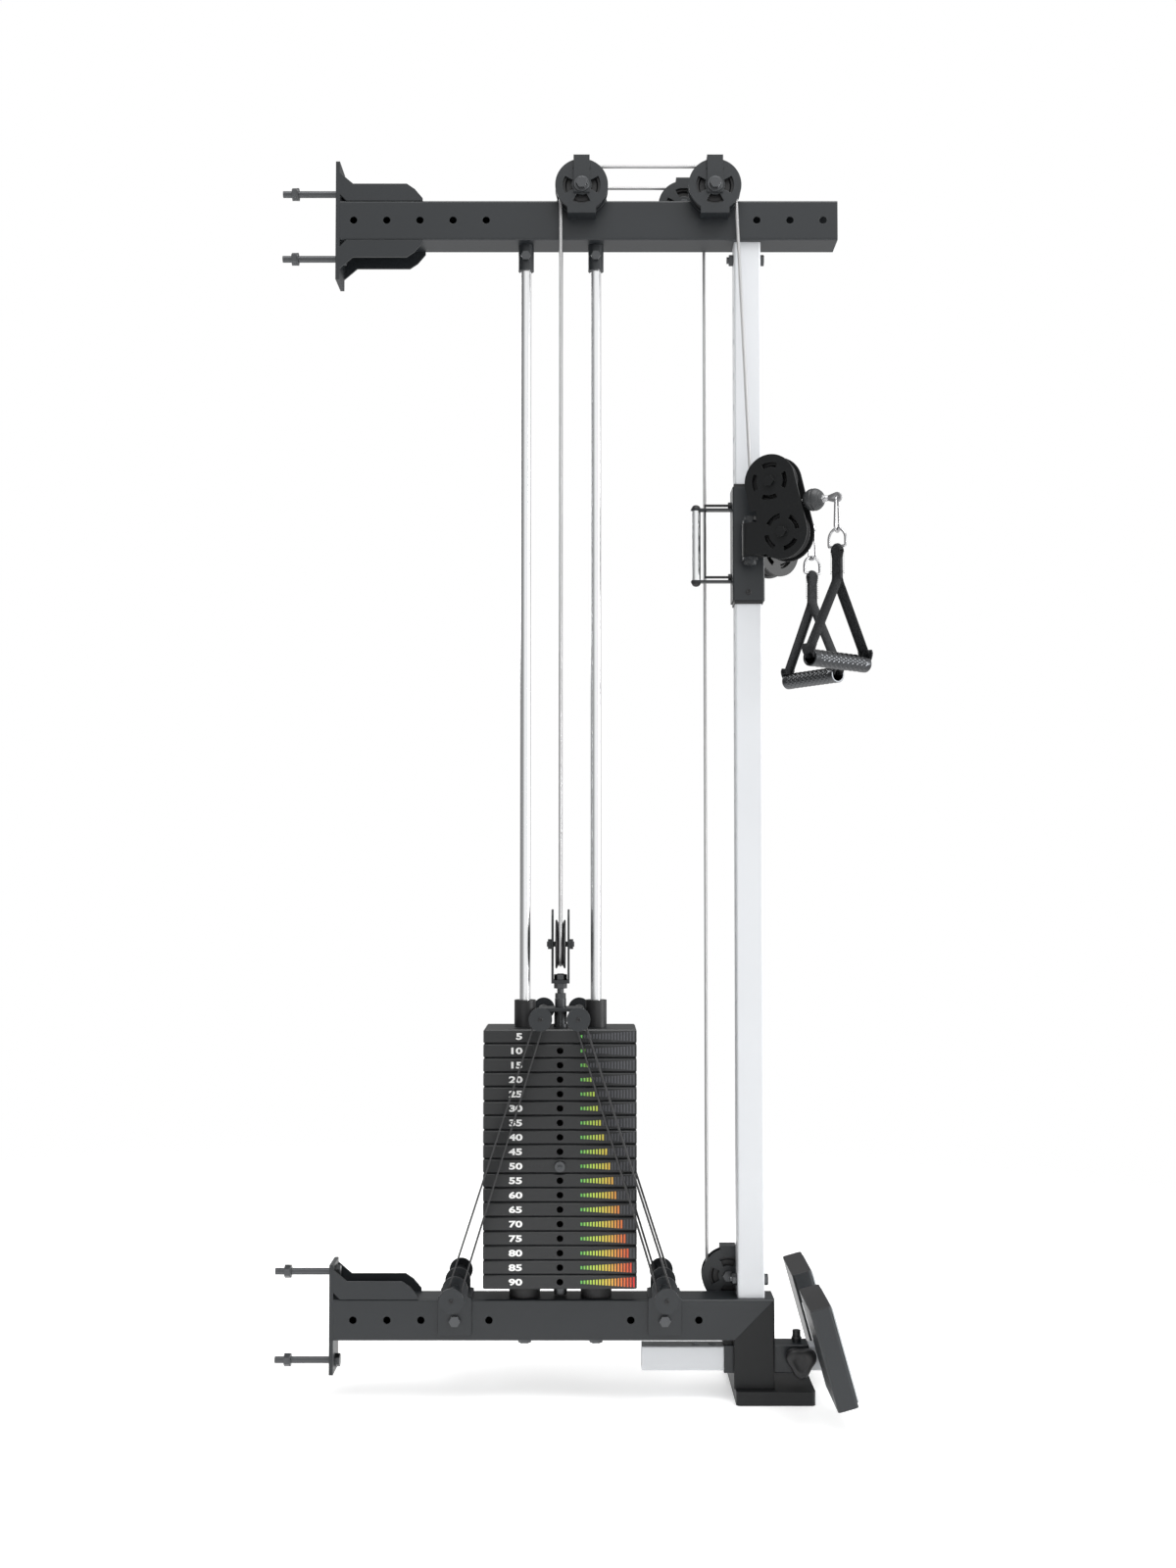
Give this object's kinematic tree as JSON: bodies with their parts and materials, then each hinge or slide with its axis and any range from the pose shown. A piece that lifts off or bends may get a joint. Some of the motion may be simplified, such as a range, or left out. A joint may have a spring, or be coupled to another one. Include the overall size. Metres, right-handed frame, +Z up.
{
  "type": "cable pulley attachment",
  "caption": "Rack-mounted cable column with a selectorised weight stack, a sliding carriage with two swivelling cable pulleys, strap handles and a sliding foot rest.",
  "frame": {"origin": "centre of the lower rack bolt pattern, on the back face of the lower flange", "axes": "+X from the rack towards the user, +Z up, -Y towards the side with the selector pin"},
  "size_m": [0.8831, 0.3804, 1.85],
  "materials": {
    "frame": "satin powder coat, charcoal",
    "light": "satin, pale grey",
    "chrome": "polished",
    "bolt": "blackened",
    "rack_bolt": "zinc plated",
    "plate": "black paint",
    "rubber": "matt",
    "wheel": "moulded nylon",
    "cable": "grey coated steel cable",
    "ball": "matt",
    "strap": "woven webbing",
    "grip": "knurled",
    "tread": "fine matt sheet",
    "plastic": "moulded"
  },
  "bodies": {
    "root": {"upper_beam": "frame", "upper_rack_flange": "frame", "lower_beam": "frame", "foot_leg": "frame", "foot_pad": "frame", "lower_rack_flange": "frame", "upright": "light", "rack_bolts": "rack_bolt", "guide_rods": "chrome", "rod_sockets": "frame", "frame_bolts": "bolt", "stack_bumpers": "rubber", "front_pulley_guards": "frame", "rear_pulley_guards": "frame", "pulley_bolts": "bolt", "resting_plates": "plate", "band_brackets": "frame", "foot_sleeve": "frame", "fixed_cable": "cable", "cable_stack_loop": "cable", "resistance_bands": "rubber", "front_cable_drop": "cable", "rear_cable_rise": "cable"},
    "lifted_stack": {"top_plate": "plate", "lifted_plates": "plate", "selector_stem": "bolt", "rod_bushings": "plastic", "yoke": "frame", "band_crossbar": "frame"},
    "pin": {"selector_pin": "rack_bolt"},
    "yoke_wheel": {"yoke_pulley": "wheel"},
    "wheel_front_stack": {"front_stack_pulley": "wheel"},
    "wheel_front_column": {"front_column_pulley": "wheel"},
    "wheel_rear_stack": {"rear_stack_pulley": "wheel"},
    "wheel_rear_column": {"rear_column_pulley": "wheel"},
    "wheel_low": {"low_pulley": "wheel"},
    "carriage": {"carriage_sleeve": "frame", "sleeve_liners": "plastic", "handle_brackets": "frame", "carriage_grip": "chrome"},
    "lever": {"release_lever": "plastic"},
    "front_swivel_housing": {"front_housing": "frame", "front_cable_end": "ball"},
    "rear_swivel_housing": {"rear_housing": "frame", "rear_cable_end": "ball"},
    "wheel_front_upper": {"front_upper_wheel": "wheel"},
    "wheel_front_lower": {"front_lower_wheel": "wheel"},
    "wheel_rear_upper": {"rear_upper_wheel": "wheel"},
    "wheel_rear_lower": {"rear_lower_wheel": "wheel"},
    "front_handle": {"front_clip": "chrome", "front_strap": "strap"},
    "front_handle_grip": {"front_grip": "grip"},
    "rear_handle": {"rear_clip": "chrome", "rear_strap": "strap"},
    "rear_handle_grip": {"rear_grip": "grip"},
    "foot_rest": {"foot_tube": "light", "foot_plates": "frame", "foot_treads": "tread"},
    "knob": {"clamp_knob": "plastic"},
    "lock_pin": {"pop_pin": "plastic"}
  },
  "joints": [
    {"name": "stack_lift", "type": "slide", "parent": "root", "child": "lifted_stack", "axis": [0, 0, 1], "range_m": [0, 0.9], "deforming": ["cable_stack_loop", "resistance_bands"]},
    {"name": "pin_pull", "type": "slide", "parent": "lifted_stack", "child": "pin", "axis": [0, -1, 0], "range_m": [0, 0.09]},
    {"name": "yoke_wheel_spin", "type": "hinge", "parent": "lifted_stack", "child": "yoke_wheel", "pos_m": [0.3395, 0, 0.55], "axis": [1, 0, 0], "continuous": true},
    {"name": "front_stack_wheel_spin", "type": "hinge", "parent": "root", "child": "wheel_front_stack", "pos_m": [0.371, -0.045, 1.6846], "axis": [0, 1, 0], "continuous": true},
    {"name": "front_column_wheel_spin", "type": "hinge", "parent": "root", "child": "wheel_front_column", "pos_m": [0.5705, -0.045, 1.6846], "axis": [0, 1, 0], "continuous": true},
    {"name": "carriage_slide", "type": "slide", "parent": "root", "child": "carriage", "axis": [0, 0, 1], "range_m": [-0.85, 0.3], "deforming": ["front_cable_drop", "rear_cable_rise"]},
    {"name": "rear_stack_wheel_spin", "type": "hinge", "parent": "root", "child": "wheel_rear_stack", "pos_m": [0.371, 0.045, 1.6846], "axis": [0, 1, 0], "continuous": true},
    {"name": "rear_column_wheel_spin", "type": "hinge", "parent": "root", "child": "wheel_rear_column", "pos_m": [0.5285, 0.045, 1.6846], "axis": [0, 1, 0], "continuous": true},
    {"name": "low_wheel_spin", "type": "hinge", "parent": "root", "child": "wheel_low", "pos_m": [0.5915, 0.045, 0.051], "axis": [0, 1, 0], "continuous": true},
    {"name": "lever_squeeze", "type": "slide", "parent": "carriage", "child": "lever", "axis": [-1, 0, 0], "range_m": [0, 0.005], "stiffness_N_per_m": 800},
    {"name": "front_swivel", "type": "hinge", "parent": "carriage", "child": "front_swivel_housing", "pos_m": [0.6215, -0.05, 1.15], "axis": [0, 0, 1], "range_deg": [-60, 10]},
    {"name": "rear_swivel", "type": "hinge", "parent": "carriage", "child": "rear_swivel_housing", "pos_m": [0.6215, 0.05, 1.15], "axis": [0, 0, 1], "range_deg": [-15, 55]},
    {"name": "front_upper_wheel_spin", "type": "hinge", "parent": "front_swivel_housing", "child": "wheel_front_upper", "pos_m": [0.65441, -0.069, 1.2325], "axis": [0.5, 0.866, 0], "continuous": true},
    {"name": "front_lower_wheel_spin", "type": "hinge", "parent": "front_swivel_housing", "child": "wheel_front_lower", "pos_m": [0.6713, -0.07875, 1.1557], "axis": [0.5, 0.866, 0], "continuous": true},
    {"name": "rear_upper_wheel_spin", "type": "hinge", "parent": "rear_swivel_housing", "child": "wheel_rear_upper", "pos_m": [0.65263, 0.0718, 1.2325], "axis": [-0.5736, 0.8192, 0], "continuous": true},
    {"name": "rear_lower_wheel_spin", "type": "hinge", "parent": "rear_swivel_housing", "child": "wheel_rear_lower", "pos_m": [0.6686, 0.08298, 1.1557], "axis": [-0.5736, 0.8192, 0], "continuous": true},
    {"name": "front_handle_swing", "type": "hinge", "parent": "front_swivel_housing", "child": "front_handle", "pos_m": [0.74145, -0.11925, 1.201], "axis": [0.5, 0.866, 0], "range_deg": [-60, 20]},
    {"name": "rear_handle_swing", "type": "hinge", "parent": "rear_swivel_housing", "child": "rear_handle", "pos_m": [0.73495, 0.12944, 1.201], "axis": [-0.5736, 0.8192, 0], "range_deg": [-60, 20]},
    {"name": "front_grip_spin", "type": "hinge", "parent": "front_handle", "child": "front_handle_grip", "pos_m": [0.74145, -0.11925, 0.963], "axis": [0.7071, 0.7071, 0], "continuous": true},
    {"name": "rear_grip_spin", "type": "hinge", "parent": "rear_handle", "child": "rear_handle_grip", "pos_m": [0.73495, 0.12944, 0.963], "axis": [0.5, -0.866, 0], "continuous": true},
    {"name": "foot_rest_slide", "type": "slide", "parent": "root", "child": "foot_rest", "axis": [1, 0, 0], "range_m": [0, 0.1]},
    {"name": "knob_turn", "type": "hinge", "parent": "root", "child": "knob", "pos_m": [0.693, -0.04, -0.059], "axis": [0, 1, 0], "continuous": true},
    {"name": "lock_pin_pull", "type": "slide", "parent": "root", "child": "lock_pin", "axis": [0, 0, 1], "range_m": [0, 0.008], "stiffness_N_per_m": 900}
  ],
  "couplings": [
    {"joint": "yoke_wheel_spin", "follows": "stack_lift", "rad_per_m": -31.746},
    {"joint": "front_stack_wheel_spin", "follows": "stack_lift", "rad_per_m": 63.492},
    {"joint": "front_column_wheel_spin", "follows": "stack_lift", "rad_per_m": 63.492},
    {"joint": "rear_stack_wheel_spin", "follows": "carriage_slide", "rad_per_m": 31.746},
    {"joint": "rear_column_wheel_spin", "follows": "carriage_slide", "rad_per_m": 31.746},
    {"joint": "low_wheel_spin", "follows": "carriage_slide", "rad_per_m": -31.746}
  ]
}
